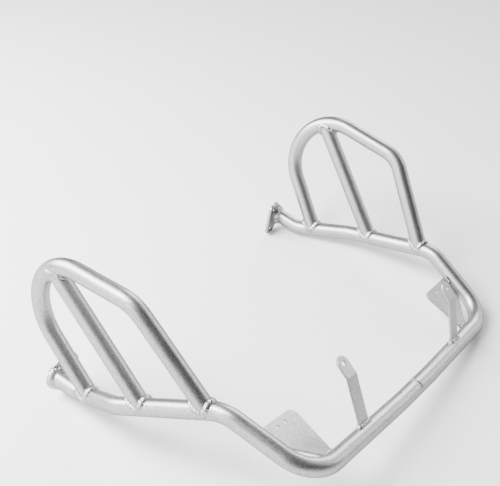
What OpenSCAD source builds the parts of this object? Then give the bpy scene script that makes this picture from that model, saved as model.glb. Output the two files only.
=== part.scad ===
// Lower crash bars of a motorcycle, in two bent tube halves joined at the front centre.
// Each half carries a hoop with a strut, a rear flange, a side plate and a front strap.
// Each half is drawn in its own frame: origin at the centre joint, X to the rider's right,
// Y to the front and Z up. The left half is the mirror image of the right one.

/* [Tubing] */
// Outside diameter of every tube
tube_d = 28; // [24:1:32]
// Wall of every tube
wall = 2; // [1.5:0.5:3]
// Centre line radius of the bends in the main tube
bend_r = 60; // [54:2:66]

/* [Main tube] */
// Cross tube from the centre joint to the corner, measured outwards
corner_out = 284; // [270:2:300]
// Set back of the corner behind the centre joint
corner_back = 5; // [0:1:10]
// Rise of the corner above the centre joint
corner_up = 4; // [0:1:10]
// Straight stub at the centre joint, before the cross tube starts to rise
joint_stub = 50; // [45:1:60]
// Knee, where the slanting tube turns to run along the engine
knee_out = 306; // [296:1:316]
knee_back = 141; // [134:1:150]
knee_up = 66; // [56:1:76]
// Waist, where the side tube starts to run inwards
waist_out = 328; // [322:1:334]
waist_back = 326; // [316:1:336]
waist_up = 11; // [4:1:18]
// Heel, the last bend before the rear flange
heel_out = 307; // [302:1:312]
heel_back = 431; // [426:1:436]
heel_drop = 19; // [12:1:26]
// End of the tube on the rear flange
tail_out = 305; // [300:1:310]
tail_back = 484; // [480:1:490]
tail_drop = 12; // [6:1:18]

/* [Hoop and strut] */
// Front foot of the hoop, measured along the side tube from the knee
hoop_front_foot = 26; // [24:1:34]
// Rear foot of the hoop, measured along the side tube from the heel
hoop_rear_foot = 36; // [32:1:41]
// Shoulder, where the front leg turns into the top rail
shoulder_out = 334; // [328:1:340]
shoulder_back = 272; // [264:1:280]
shoulder_up = 200; // [190:1:210]
// Radius of the bend at the shoulder
shoulder_r = 56; // [50:1:62]
// Point where the top rail and the rear leg would meet if they were straight
peak_out = 331; // [325:1:337]
peak_back = 592; // [582:2:602]
peak_up = 247; // [237:2:257]
// Radius of the large bend at the back of the hoop
crown_r = 87; // [80:1:92]
// Foot of the strut, measured along the side tube from the knee
strut_foot = 142; // [134:1:150]
// Top of the strut, as an angle round the large bend
strut_top_angle = 36; // [28:1:42]

/* [Rear flange] */
// Width along the edge that carries the two holes
flange_w = 66; // [60:1:72]
// Depth from that edge to the foot of the plate
flange_h = 54; // [52:1:58]
flange_t = 5; // [4:0.5:8]
// Rounding of the two corners beside the holes
flange_corner_r = 12; // [8:1:16]
// Depth at which the sides start to taper
flange_taper_from = 30; // [26:1:34]
// Width of the foot of the plate
flange_foot_w = 31; // [28:1:40]
flange_hole_d = 8.5; // [6.5:0.5:10.5]
// Distance between the two holes
flange_hole_gap = 42; // [36:1:46]
// Holes from the long edge
flange_hole_edge = 14.5; // [12:0.5:18]
// Centre of the tube from the long edge
flange_seat = 42; // [38:1:44]
// Turn of the plate about the upright
flange_turn = 11; // [6:1:16]

/* [Side plate] */
// Reach of the plate inwards from the slanting tube, along its rear edge
plate_w = 95; // [88:1:100]
// Reach of the plate inwards at the axis of the cross tube
plate_front_w = 66; // [66:1:76]
// Reach of the plate backwards from the cross tube
plate_l = 100; // [94:1:106]
plate_t = 4; // [3:0.5:6]
plate_corner_r = 12; // [6:1:16]
// Open corner beside the bend: where its edge would meet the axis of the cross tube
plate_open_in = 64; // [56:1:64]
// Where the same edge would meet the axis of the slanting tube
plate_open_back = 80; // [72:1:84]
plate_hole_d = 6.5; // [5.5:0.5:8.5]
// Distance between the two holes
plate_hole_gap = 19; // [16:1:24]
// Holes from the rear edge
plate_hole_edge = 12; // [10:1:16]
// First hole from the slanting tube's axis
plate_hole_in = 42; // [34:1:48]
// Plate below the axis of the slanting tube
plate_drop = 3; // [2:0.5:4]
// Tilt of the plate, inner edge down
plate_tilt = 4; // [0:1:5]

/* [Front strap] */
// Place of the strap along the cross tube, from the centre joint
strap_out = 152; // [130:1:180]
strap_w = 24; // [20:1:30]
strap_t = 4; // [3:0.5:6]
// Length from the cross tube's axis to the bend
strap_leg = 88; // [80:1:100]
// Length from the bend to the hole
strap_nose = 21; // [16:1:26]
// Lean of the leg to the rear
strap_lean = 20; // [12:1:26]
// Further bend of the nose
strap_bend = 25; // [20:1:40]
strap_bend_r = 10; // [8:1:14]
strap_hole_d = 8.5; // [6.5:0.5:10.5]

/* [Welds and joint] */
// Leg length of the weld beads round the tubes
weld = 4.5; // [3:0.5:6]
// Leg length of the bead round the tube on the rear flange
flange_weld_leg = 6; // [4:0.5:8]
// Leg length of the short beads on the plates and straps
tack = 4; // [3:0.5:5]
// Length of each short bead on the side plate
tack_length = 16; // [10:1:18]
// Length of the sleeve inside the centre joint
spigot_length = 80; // [60:2:86]
spigot_wall = 2.5; // [2:0.5:4]
// Gap all round between the sleeve and the tube
spigot_fit = 0.1; // [0.05:0.05:0.2]
// Gap at the root of each weld, where one tube is cut to sit on another
root_gap = 0.1; // [0.05:0.05:0.2]
// Slit between the two halves at the centre joint
joint_slit = 0.6; // [0.4:0.1:1]
// Turn of the left half about the centre joint, its rear end raised
half_twist = 11.4; // [0:0.2:14]

/* [Hidden] */
$fn = 48;

// Route of the main tube, from the centre joint to the rear flange
joint = [joint_slit / 2, 0, 0];
stub = [joint_stub, 0, 0];
corner = [corner_out, -corner_back, corner_up];
knee = [knee_out, -knee_back, knee_up];
waist = [waist_out, -waist_back, waist_up];
heel = [heel_out, -heel_back, -heel_drop];
tail = [tail_out, -tail_back, -tail_drop];
stub_r = 400;
// Thinning of the wall on each face in the bends, and the lap of a straight run over a bend
bend_draw = 0.05;
// Hairline between a bead and the tube that it is laid on
weld_seat = 0.02;
bend_lap = 1;
strap_lap = 0.5;
// The tube runs on through the seat of the flange, where it is cut off
tail_end = tail + unit(tail - heel) * tube_d / 2;
main_route = [joint, stub, corner, knee, waist, heel, tail_end];
main_bends = [stub_r, bend_r, bend_r, bend_r, bend_r];

// Directions of the straight runs
function unit(v) = v / norm(v);
cross_run = unit(corner - stub);
slant_run = unit(knee - corner);
side_run = unit(waist - knee);
tail_run = unit(heel - waist);

// Route of the hoop, whose feet lie on the axis of the main tube
front_foot = knee + side_run * hoop_front_foot;
rear_foot = heel - tail_run * hoop_rear_foot;
shoulder = [shoulder_out, -shoulder_back, shoulder_up];
peak = [peak_out, -peak_back, peak_up];
hoop_route = [front_foot, shoulder, peak, rear_foot];
hoop_bends = [shoulder_r, crown_r];

// Turn of a route at its middle point, and the straight length that the bend takes up
function turn_at(a, b, c) = acos(min(1, max(-1, unit(b - a) * unit(c - b))));
function bend_take(a, b, c, r) = r * tan(turn_at(a, b, c) / 2);
function bend_centre(a, b, c, r) = b + unit(unit(a - b) + unit(c - b)) * r / cos(turn_at(a, b, c) / 2);

// Point on the large bend of the hoop where the strut ends
crown_centre = bend_centre(shoulder, peak, rear_foot, crown_r);
crown_start = peak + unit(shoulder - peak) * bend_take(shoulder, peak, rear_foot, crown_r);
strut_top = crown_centre + cos(strut_top_angle) * (crown_start - crown_centre)
    + sin(strut_top_angle) * crown_r * unit(peak - shoulder);
strut_base = knee + side_run * strut_foot;

// Seat of the rear flange on the end of the tube
flange_normal = [sin(flange_turn), cos(flange_turn), 0];

// How the part stands: on the lower corners of both flanges and on the left end of the cross tube.
// Each support is the lowest of some points of the piece, as seen along the upward direction.
function turned_left(p) = [-p[0], p[1] * cos(half_twist) + p[2] * sin(half_twist),
    -p[1] * sin(half_twist) + p[2] * cos(half_twist)];
function turned_back(v) = [-v[0], v[1] * cos(half_twist) - v[2] * sin(half_twist),
    v[1] * sin(half_twist) + v[2] * cos(half_twist)];
function lowest(points, up) = points[search(min(points * up), points * up)[0]];
function flange_point(depth, drop, back) = tail + [cos(flange_turn), -sin(flange_turn), 0] * (depth - flange_seat)
    - flange_normal * back - [0, 0, drop];
flange_low_points = [
    for (back = [0, flange_t]) each [
        for (a = [0 : 5 : 90])
            flange_point(flange_corner_r * (1 - cos(a)), flange_w / 2 - flange_corner_r * (1 - sin(a)), back),
        flange_point(flange_taper_from, flange_w / 2, back),
        flange_point(flange_h, flange_foot_w / 2, back)
    ]
];
corner_centre = bend_centre(stub, corner, knee, bend_r);
corner_start = corner - cross_run * bend_take(stub, corner, knee, bend_r);
function corner_low_points(up) = [
    for (a = [0 : 2 : turn_at(stub, corner, knee)])
        let (along = cross_run * cos(a) + unit(corner_centre - corner_start) * sin(a),
             at = corner_centre + (corner_start - corner_centre) * cos(a) + cross_run * bend_r * sin(a))
        at - unit(up - along * (up * along)) * tube_d / 2
];
function stand_on(up, turns) = turns == 0 ? up
    : stand_on(stand_normal(lowest(flange_low_points, up),
        lowest([for (p = flange_low_points) turned_left(p)], up),
        lowest([for (p = corner_low_points(turned_back(up))) turned_left(p)], up)), turns - 1);
function stand_normal(a, b, c) = unit(cross(b - c, a - c));
stand_up = stand_on([0.17, 0.1, 0.98], 6);
stand_pitch = atan2(stand_up[1], stand_up[2]);
stand_roll = -atan2(stand_up[0], norm([stand_up[1], stand_up[2]]));
stand_height = -(lowest(flange_low_points, stand_up) * stand_up);

// Where the centre joint stands, so that the origin lies on the ground under the middle of the plan
joint_place = [21.87, 246.43];

// Sets the whole part on the ground
module standing() {
    translate([joint_place[0], joint_place[1], stand_height]) rotate([0, stand_roll, 0]) rotate([stand_pitch, 0, 0]) children();
}

module right_half() {
    standing() children();
}

module left_half() {
    standing() rotate([-half_twist, 0, 0]) mirror([1, 0, 0]) children();
}

// Moves a shape to a point, with its Z axis along z and its X axis along x
module placed(at, x, z) {
    y = cross(z, x);
    upright = abs(x[2]) > 0.99999;
    turn = upright ? atan2(-y[0], y[1]) : atan2(x[1], x[0]);
    translate(at) rotate([upright ? 0 : atan2(y[2], z[2]), -asin(x[2]), turn]) children();
}

// Any direction at right angles to v
function beside(v) = unit(cross(v, abs(v[2]) < 0.8 ? [0, 0, 1] : [1, 0, 0]));

// Round profile, hollow where the inner radius isn't zero
module ring(outer, inner = 0) {
    difference() {
        circle(r = outer);
        if (inner > 0) circle(r = inner);
    }
}

// Straight length of tube or rod
module straight(a, b, outer = tube_d / 2, inner = 0) {
    z = unit(b - a);
    placed(a, beside(z), z) linear_extrude(norm(b - a)) ring(outer, inner);
}

// Bend at b, on the way from a to c, with its wall drawn a little thinner
module bend(a, b, c, r, outer = tube_d / 2, inner = 0) {
    start = b - unit(b - a) * bend_take(a, b, c, r);
    centre = bend_centre(a, b, c, r);
    x = unit(start - centre);
    placed(centre, x, cross(x, unit(b - a)))
        rotate_extrude(angle = turn_at(a, b, c), $fn = 96) translate([r, 0])
            ring(outer - bend_draw, inner > 0 ? inner + bend_draw : 0);
}

// Start and end of the straight run from point i to point i + 1 of a route, each a little way into the bend
function run_start(p, r, i) = i == 0 ? p[0]
    : p[i] + unit(p[i + 1] - p[i]) * (bend_take(p[i - 1], p[i], p[i + 1], r[i - 1]) - bend_lap);
function run_end(p, r, i) = i == len(p) - 2 ? p[i + 1]
    : p[i + 1] - unit(p[i + 1] - p[i]) * (bend_take(p[i], p[i + 1], p[i + 2], r[i]) - bend_lap);

// Tube or rod along a route of straight runs and bends
module swept(p, r, outer = tube_d / 2, inner = 0) {
    for (i = [0 : len(p) - 2]) straight(run_start(p, r, i), run_end(p, r, i), outer, inner);
    for (i = [1 : len(p) - 2]) bend(p[i - 1], p[i], p[i + 1], r[i - 1], outer, inner);
}

// Solid rods along parts of the main tube, used to cut what sits on it
module cross_rod(grow = 0) {
    swept([stub, corner, knee, waist], [bend_r, bend_r], tube_d / 2 + grow);
}

module side_rod(grow = 0) {
    swept([corner, knee, waist, heel], [bend_r, bend_r], tube_d / 2 + grow);
}

module crown_rod(grow = 0) {
    bend(shoulder, peak, rear_foot, crown_r, tube_d / 2 + grow);
}

// Solid rod that starts on the axis of the tube it sits on
module leg_rod(from, to, grow = 0) {
    straight(from, to, tube_d / 2 + grow);
}

module main_tube() {
    difference() {
        swept(main_route, main_bends, tube_d / 2, tube_d / 2 - wall);
        on_flange() translate([-flange_w, -flange_h, -flange_w]) cube([2 * flange_w, 3 * flange_h, flange_w]);
    }
}

module hoop_tube() {
    difference() {
        swept(hoop_route, hoop_bends, tube_d / 2, tube_d / 2 - wall);
        side_rod(root_gap);
    }
}

module hoop_strut() {
    difference() {
        straight(strut_base, strut_top, tube_d / 2, tube_d / 2 - wall);
        side_rod(root_gap);
        crown_rod(root_gap);
    }
}

// Sleeve that joins the two halves
module spigot() {
    outer = tube_d / 2 - wall - spigot_fit;
    straight([-spigot_length / 2, 0, 0], [spigot_length / 2, 0, 0], outer, outer - spigot_wall);
}

// Frame of the rear flange: X upwards, Y from the hole edge to the foot, Z towards the tube
module on_flange() {
    placed(tail, [0, 0, 1], flange_normal) translate([0, -flange_seat, 0]) children();
}

module flange_outline() {
    side = flange_w / 2;
    difference() {
        union() {
            polygon([
                [-side, flange_corner_r], [flange_corner_r - side, 0],
                [side - flange_corner_r, 0], [side, flange_corner_r],
                [side, flange_taper_from], [flange_foot_w / 2, flange_h],
                [-flange_foot_w / 2, flange_h], [-side, flange_taper_from]
            ]);
            for (s = [-1, 1]) translate([s * (side - flange_corner_r), flange_corner_r]) circle(r = flange_corner_r);
        }
        for (s = [-1, 1]) translate([s * flange_hole_gap / 2, flange_hole_edge]) circle(d = flange_hole_d);
    }
}

module rear_flange() {
    on_flange() translate([0, 0, -flange_t]) linear_extrude(flange_t) flange_outline();
}

// Frame of the side plate: X inwards from the slanting tube, Y backwards along it, Z upwards
plate_up = unit(cross(-cross_run, slant_run));
plate_in = cross(slant_run, plate_up);
module on_plate() {
    placed(corner, plate_in, plate_up) rotate([0, plate_tilt, 0]) translate([0, 0, -plate_drop]) children();
}

// Point of the plate, measured inwards along the cross tube and backwards along the slanting tube
function plate_point(inwards, backwards) =
    [-cross_run * plate_in * inwards, backwards - cross_run * slant_run * inwards];

module plate_body() {
    inner_rear = plate_point(plate_w, plate_l);
    along_rear = unit(plate_point(0, plate_l) - inner_rear);
    along_inner = unit(plate_point(plate_front_w, 0) - inner_rear);
    half_corner = acos(along_rear * along_inner) / 2;
    difference() {
        union() {
            linear_extrude(plate_t, center = true) polygon([
                plate_point(plate_open_in, 0),
                plate_point(0, plate_open_back),
                plate_point(0, plate_l),
                inner_rear + along_rear * plate_corner_r / tan(half_corner),
                inner_rear + along_inner * plate_corner_r / tan(half_corner),
                plate_point(plate_front_w, 0)
            ]);
            translate(inner_rear + unit(along_rear + along_inner) * plate_corner_r / sin(half_corner))
                cylinder(r = plate_corner_r - 0.02, h = plate_t, center = true);
        }
        for (i = [0, 1])
            translate(plate_point(plate_hole_in + i * plate_hole_gap, plate_l - plate_hole_edge))
                cylinder(d = plate_hole_d, h = 3 * plate_t, center = true);
    }
}

module side_plate() {
    difference() {
        on_plate() plate_body();
        cross_rod(root_gap);
    }
}

// Frame of the strap: X along the cross tube, Z up the leg
strap_at = stub + cross_run * (strap_out - joint_stub);
strap_rise = [0, -sin(strap_lean), cos(strap_lean)];
strap_up = unit(strap_rise - cross_run * (strap_rise * cross_run));
module on_strap() {
    placed(strap_at, cross_run, strap_up) children();
}

module front_strap() {
    leg = strap_leg - strap_bend_r * tan(strap_bend / 2);
    nose = strap_nose - strap_bend_r * tan(strap_bend / 2);
    difference() {
        on_strap() {
            translate([-strap_w / 2, -strap_t / 2, 0]) cube([strap_w, strap_t, leg + strap_lap]);
            placed([0, -strap_bend_r, leg], [0, 1, 0], [1, 0, 0])
                rotate_extrude(angle = strap_bend, $fn = 96) translate([strap_bend_r, 0])
                    square([strap_t - 2 * bend_draw, strap_w - 2 * bend_draw], center = true);
            translate([0, -strap_bend_r, leg]) rotate([strap_bend, 0, 0]) translate([0, strap_bend_r, 0])
                rotate([90, 0, 0]) difference() {
                    union() {
                        translate([-strap_w / 2, -strap_lap, -strap_t / 2]) cube([strap_w, nose + strap_lap, strap_t]);
                        translate([0, nose, 0]) cylinder(d = strap_w - 0.04, h = strap_t, center = true);
                    }
                    translate([0, nose, 0]) cylinder(d = strap_hole_d, h = 3 * strap_t, center = true);
                }
        }
        cross_rod(root_gap);
    }
}

// Weld beads fill the corner between two tubes: the overlap of a sleeve round each of them
module leg_sleeve(from, to) {
    straight(from + unit(to - from) * weld, to, tube_d / 2 + weld, tube_d / 2);
}

module hoop_front_weld() {
    intersection() {
        leg_sleeve(front_foot, front_foot + unit(shoulder - front_foot) * tube_d * 2);
        difference() {
            side_rod(weld * 0.9);
            side_rod(weld_seat);
        }
    }
}

module hoop_rear_weld() {
    intersection() {
        leg_sleeve(rear_foot, rear_foot + unit(peak - rear_foot) * tube_d * 2);
        straight(waist, heel, tube_d / 2 + weld * 0.9, tube_d / 2 + weld_seat);
    }
}

module strut_lower_weld() {
    intersection() {
        leg_sleeve(strut_base, strut_base + unit(strut_top - strut_base) * tube_d * 2);
        straight(knee, waist, tube_d / 2 + weld * 0.9, tube_d / 2 + weld_seat);
    }
}

module strut_upper_weld() {
    intersection() {
        leg_sleeve(strut_top, strut_top + unit(strut_base - strut_top) * tube_d * 2);
        difference() {
            crown_rod(weld * 0.9);
            crown_rod(weld_seat);
        }
    }
}

module flange_weld() {
    difference() {
        intersection() {
            leg_rod(tail + unit(heel - tail) * tube_d, tail_end, flange_weld_leg);
            on_flange() translate([-flange_w, -flange_h, 0]) cube([2 * flange_w, 3 * flange_h, flange_weld_leg]);
        }
        leg_rod(tail + unit(heel - tail) * tube_d * 1.2, tail_end + unit(tail - heel) * tube_d);
    }
}

// Space that a short bead takes up beside the plate, near one of its corners
module tack_space(inwards, backwards, along_x, along_y) {
    thick = plate_t + 2 * tack;
    on_plate() translate(plate_point(inwards, backwards))
        translate([-along_x / 2, -along_y / 2, -thick / 2]) cube([along_x, along_y, thick]);
}

module plate_welds() {
    reach = tube_d * 2;
    wall_share = tube_d / 2 / plate_l;
    foot_inner = plate_front_w + (plate_w - plate_front_w) * wall_share;
    foot_outer = plate_open_in * (1 - tube_d / 2 / plate_open_back);
    difference() {
        intersection() {
            union() {
                tack_space(reach / 2, plate_l - tack_length / 2 - 1, reach, tack_length);
                tack_space((foot_inner + foot_outer) / 2, reach / 2, tack_length, reach);
            }
            cross_rod(tack);
        }
        on_plate() linear_extrude(plate_t, center = true) square(4 * plate_l, center = true);
        cross_rod();
    }
}

module strap_weld() {
    difference() {
        intersection() {
            on_strap() translate([-strap_w / 2 - tack, -strap_t / 2 - tack, 0])
                cube([strap_w + 2 * tack, strap_t + 2 * tack, tube_d]);
            cross_rod(tack);
        }
        on_strap() translate([-strap_w / 2, -strap_t / 2, 0]) cube([strap_w, strap_t, tube_d * 1.5]);
        cross_rod();
    }
}

module right_main_tube() { color("silver") right_half() main_tube(); }
module left_main_tube() { color("silver") left_half() main_tube(); }
module right_hoop_tube() { color("silver") right_half() hoop_tube(); }
module left_hoop_tube() { color("silver") left_half() hoop_tube(); }
module right_hoop_strut() { color("silver") right_half() hoop_strut(); }
module left_hoop_strut() { color("silver") left_half() hoop_strut(); }
module right_rear_flange() { color("lightgray") right_half() rear_flange(); }
module left_rear_flange() { color("lightgray") left_half() rear_flange(); }
module right_side_plate() { color("lightgray") right_half() side_plate(); }
module left_side_plate() { color("lightgray") left_half() side_plate(); }
module right_front_strap() { color("lightgray") right_half() front_strap(); }
module left_front_strap() { color("lightgray") left_half() front_strap(); }
module right_flange_weld() { color("gray") right_half() flange_weld(); }
module left_flange_weld() { color("gray") left_half() flange_weld(); }
module right_hoop_front_weld() { color("gray") right_half() hoop_front_weld(); }
module left_hoop_front_weld() { color("gray") left_half() hoop_front_weld(); }
module right_hoop_rear_weld() { color("gray") right_half() hoop_rear_weld(); }
module left_hoop_rear_weld() { color("gray") left_half() hoop_rear_weld(); }
module right_strut_lower_weld() { color("gray") right_half() strut_lower_weld(); }
module left_strut_lower_weld() { color("gray") left_half() strut_lower_weld(); }
module right_strut_upper_weld() { color("gray") right_half() strut_upper_weld(); }
module left_strut_upper_weld() { color("gray") left_half() strut_upper_weld(); }
module right_plate_welds() { color("gray") right_half() plate_welds(); }
module left_plate_welds() { color("gray") left_half() plate_welds(); }
module right_strap_weld() { color("gray") right_half() strap_weld(); }
module left_strap_weld() { color("gray") left_half() strap_weld(); }
module centre_spigot() { color("dimgray") standing() spigot(); }

right_main_tube();
left_main_tube();
right_hoop_tube();
left_hoop_tube();
right_hoop_strut();
left_hoop_strut();
right_rear_flange();
left_rear_flange();
right_side_plate();
left_side_plate();
right_front_strap();
left_front_strap();
right_flange_weld();
left_flange_weld();
right_hoop_front_weld();
left_hoop_front_weld();
right_hoop_rear_weld();
left_hoop_rear_weld();
right_strut_lower_weld();
left_strut_lower_weld();
right_strut_upper_weld();
left_strut_upper_weld();
right_plate_welds();
left_plate_welds();
right_strap_weld();
left_strap_weld();
centre_spigot();
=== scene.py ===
# %% [markdown]
# # Motorcycle crash bars in silver powder coat
# Crash bars are two halves of bent steel tube that meet in front of the engine. Each half carries a
# hoop with a strut beside the cylinder, a flange at its rear end, a plate in its front corner and a
# strap. All of it is welded together and then powder coated in silver.
#
# The solids of the frame have the right forms, but plain collars stand for their welds. This script
# dresses them. It sweeps smooth tubes along the same routes, lays rippled weld beads where tubes meet,
# rounds the edges of the plates, and paints everything. Each half is described once, in its own frame,
# and is then set in place for the right and for the left.

import math

import bpy
import numpy as np
from mathutils import Matrix, Vector
from mathutils.geometry import tessellate_polygon


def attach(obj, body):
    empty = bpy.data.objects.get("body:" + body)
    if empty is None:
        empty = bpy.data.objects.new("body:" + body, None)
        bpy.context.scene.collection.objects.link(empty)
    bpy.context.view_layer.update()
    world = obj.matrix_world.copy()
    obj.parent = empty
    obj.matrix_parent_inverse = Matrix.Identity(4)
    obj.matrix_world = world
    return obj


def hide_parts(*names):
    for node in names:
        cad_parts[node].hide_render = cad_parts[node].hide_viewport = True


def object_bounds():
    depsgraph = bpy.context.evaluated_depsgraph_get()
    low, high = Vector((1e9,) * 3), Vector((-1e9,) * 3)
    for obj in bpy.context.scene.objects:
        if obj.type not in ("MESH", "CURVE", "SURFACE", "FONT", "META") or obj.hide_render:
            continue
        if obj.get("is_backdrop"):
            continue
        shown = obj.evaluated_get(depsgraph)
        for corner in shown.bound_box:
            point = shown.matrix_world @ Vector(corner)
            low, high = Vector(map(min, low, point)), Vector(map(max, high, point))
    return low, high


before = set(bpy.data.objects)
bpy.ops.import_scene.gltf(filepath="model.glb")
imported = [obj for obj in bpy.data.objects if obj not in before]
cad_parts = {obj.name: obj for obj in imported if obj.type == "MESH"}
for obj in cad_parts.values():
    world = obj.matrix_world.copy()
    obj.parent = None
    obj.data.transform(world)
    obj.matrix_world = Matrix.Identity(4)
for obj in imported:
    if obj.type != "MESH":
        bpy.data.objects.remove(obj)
low_before, high_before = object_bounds()
print("solids of", len(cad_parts), "nodes")
print("their box in metres is from", np.round(low_before, 3), "to", np.round(high_before, 3))

# %% [markdown]
# ## Sizes and routes
# A tube bender works from a list of points and bend radii, so that is how the tubes are given here: a
# route is a list of points, and one radius for each point between the first and the last. All lengths
# are in millimetres. The origin of a half is the centre joint, X points to the rider's right, Y to the
# front and Z up.

# %% Sizes and routes
TUBE_R = 14.0
BORE_R = 12.0
END_CHAMFER = 0.5
JOINT = np.array([0.3, 0.0, 0.0])
STUB = np.array([50.0, 0.0, 0.0])
CORNER = np.array([284.0, -5.0, 4.0])
KNEE = np.array([306.0, -141.0, 66.0])
WAIST = np.array([328.0, -326.0, 11.0])
HEEL = np.array([307.0, -431.0, -19.0])
TAIL = np.array([305.0, -484.0, -12.0])
SHOULDER = np.array([334.0, -272.0, 200.0])
PEAK = np.array([331.0, -592.0, 247.0])
STUB_BEND, MAIN_BEND, SHOULDER_BEND, CROWN_BEND = 400.0, 60.0, 56.0, 87.0
FRONT_FOOT_BACK, STRUT_FOOT_BACK, REAR_FOOT_AHEAD = 26.0, 142.0, 36.0
STRUT_ANGLE = math.radians(36.0)
UP = np.array([0.0, 0.0, 1.0])
M8_HOLE_R, M6_HOLE_R = 4.25, 3.25


def unit(v):
    """The vector divided by its length; for an array, each row by its own length."""
    v = np.asarray(v, float)
    return v / np.linalg.norm(v, axis=-1, keepdims=True)


CROSS_RUN = unit(CORNER - STUB)
SLANT_RUN = unit(KNEE - CORNER)
SIDE_RUN = unit(WAIST - KNEE)
TAIL_RUN = unit(HEEL - WAIST)
FRONT_FOOT = KNEE + SIDE_RUN * FRONT_FOOT_BACK
STRUT_FOOT = KNEE + SIDE_RUN * STRUT_FOOT_BACK
REAR_FOOT = HEEL - TAIL_RUN * REAR_FOOT_AHEAD
print("feet of the hoop at", np.round(FRONT_FOOT, 1), "and", np.round(REAR_FOOT, 1))

# %% [markdown]
# ## From a half to the whole
# On the ground the bars lie on both rear flanges and on the left end of the cross tube, so each half is
# rolled, pitched and raised. The left half could be modelled a second time, but a mirror image keeps
# both sides alike. It is turned a little about the centre joint, because the halves lie loosely joined.


# %% From a half to the whole
def turn_x(angle):
    """Rotation matrix for a turn by angle about the X axis."""
    c, s = math.cos(angle), math.sin(angle)
    return np.array([[1, 0, 0], [0, c, -s], [0, s, c]])


def turn_y(angle):
    """Rotation matrix for a turn by angle about the Y axis."""
    c, s = math.cos(angle), math.sin(angle)
    return np.array([[c, 0, s], [0, 1, 0], [-s, 0, c]])


STAND_ROLL, STAND_PITCH = math.radians(-9.58346), math.radians(6.29702)
HALF_TWIST = math.radians(11.4)
STAND = turn_y(STAND_ROLL) @ turn_x(STAND_PITCH)
PLACE = np.array([21.87, 246.43, 50.7644])
LEFT = turn_x(-HALF_TWIST) @ np.diag([-1.0, 1.0, 1.0])


def in_row(points, side):
    """Points of a half in millimetres, moved to the frame of the whole part in metres: mirrored and twisted
    if they are of the left half, turned by STAND, moved by PLACE and divided by 1000."""
    p = np.asarray(points, float)
    if side == "left":
        p = p @ LEFT.T
    return (p @ STAND.T + PLACE) / 1000.0


for side in ("right", "left"):
    print(side, "corner in metres:", np.round(in_row(CORNER, side), 3))

# %% [markdown]
# ## Bends and centre lines
# A bend of radius r at a corner of the route takes up r times the tangent of half the turn on each
# side of the corner. Its centre lies on the line that halves the corner, at r divided by the cosine
# of half the turn. A Bezier curve would only come near to such an arc, so the arcs are computed.

# %% Bends and centre lines
LINE_STEP = 3.0


def bend_at(a, b, c, r):
    """Turn, start and centre of the bend at b on the way from a to c."""
    turn = math.acos(max(-1.0, min(1.0, float(unit(b - a) @ unit(c - b)))))
    start = b - unit(b - a) * r * math.tan(turn / 2)
    centre = b + unit(unit(a - b) + unit(c - b)) * r / math.cos(turn / 2)
    return turn, start, centre


def straight(start, end, last=0):
    """Points start + (end - start) t of a straight. The end is among them only if last is 1."""
    n = max(2, int(np.linalg.norm(end - start) / LINE_STEP))
    return start + (end - start) * np.arange(n + last)[:, None] / n


def centre_line(points, radii):
    """Points along a route about LINE_STEP apart, with the unit tangent at each of them. On a bend they are
    centre + x cos a + y r sin a, where x runs from the centre to the bend's start and y along the straight
    before it. The tangent there is y cos a - (x / r) sin a."""
    line, along = [], []
    last = points[0]
    for a, b, c, r in zip(points[:-2], points[1:-1], points[2:], radii):
        turn, start, centre = bend_at(a, b, c, r)
        before = straight(last, start)
        n = max(4, int(turn * r / LINE_STEP))
        angle = (np.arange(n) / n * turn)[:, None]
        x, y = start - centre, unit(b - a)
        line += [before, centre + x * np.cos(angle) + y * r * np.sin(angle)]
        along += [np.tile(y, (len(before), 1)), y * np.cos(angle) - unit(x) * np.sin(angle)]
        last = b + unit(c - b) * r * math.tan(turn / 2)
    after = straight(last, points[-1], 1)
    line.append(after)
    along.append(np.tile(unit(points[-1] - last), (len(after), 1)))
    return np.vstack(line), unit(np.vstack(along))


MAIN_LINE, MAIN_ALONG = centre_line(
    [JOINT, STUB, CORNER, KNEE, WAIST, HEEL, TAIL], [STUB_BEND] + [MAIN_BEND] * 4
)
HOOP_LINE, HOOP_ALONG = centre_line([FRONT_FOOT, SHOULDER, PEAK, REAR_FOOT], [SHOULDER_BEND, CROWN_BEND])
_, crown_start, crown_centre = bend_at(SHOULDER, PEAK, REAR_FOOT, CROWN_BEND)
STRUT_TOP = (
    crown_centre
    + math.cos(STRUT_ANGLE) * (crown_start - crown_centre)
    + math.sin(STRUT_ANGLE) * CROWN_BEND * unit(PEAK - SHOULDER)
)
STRUT_LINE, STRUT_ALONG = centre_line([STRUT_FOOT, STRUT_TOP], [])
for title, line in (("main tube", MAIN_LINE), ("hoop", HOOP_LINE), ("strut", STRUT_LINE)):
    print(title, "centre line:", round(np.linalg.norm(np.diff(line, axis=0), axis=1).sum()), "mm")

# %% [markdown]
# ## Measuring against a line
# Three helpers serve everything that sits on a tube: the nearest point of a centre line, the piece of
# the line that is near enough to matter, and points brought out to the wall of the tube.

# %% Measuring against a line
NEAR_REACH = 60.0


def nearest_on(line, points):
    """Nearest point of a broken line to each of the points. On the stretch from a to b it is a + (b - a) t,
    where t is (p - a) . (b - a) / |b - a|^2 kept between 0 and 1, and the nearest stretch counts."""
    a, b = line[:-1], line[1:]
    d = b - a
    t = np.einsum("psk,sk->ps", points[:, None] - a[None], d) / np.einsum("sk,sk->s", d, d)
    q = a[None] + np.clip(t, 0.0, 1.0)[..., None] * d[None]
    i = np.argmin(np.linalg.norm(points[:, None] - q, axis=2), axis=1)
    return q[np.arange(len(points)), i]


def near_part(line, foot):
    """The stretch of a broken line that lies near a point."""
    keep = np.where(np.linalg.norm(line - foot, axis=1) < NEAR_REACH)[0]
    return line[keep[0] : keep[-1] + 1]


def onto_wall(line, points):
    """The points brought straight out or in to the wall of the tube round a line."""
    q = nearest_on(line, points)
    return q + unit(points - q) * TUBE_R


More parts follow.
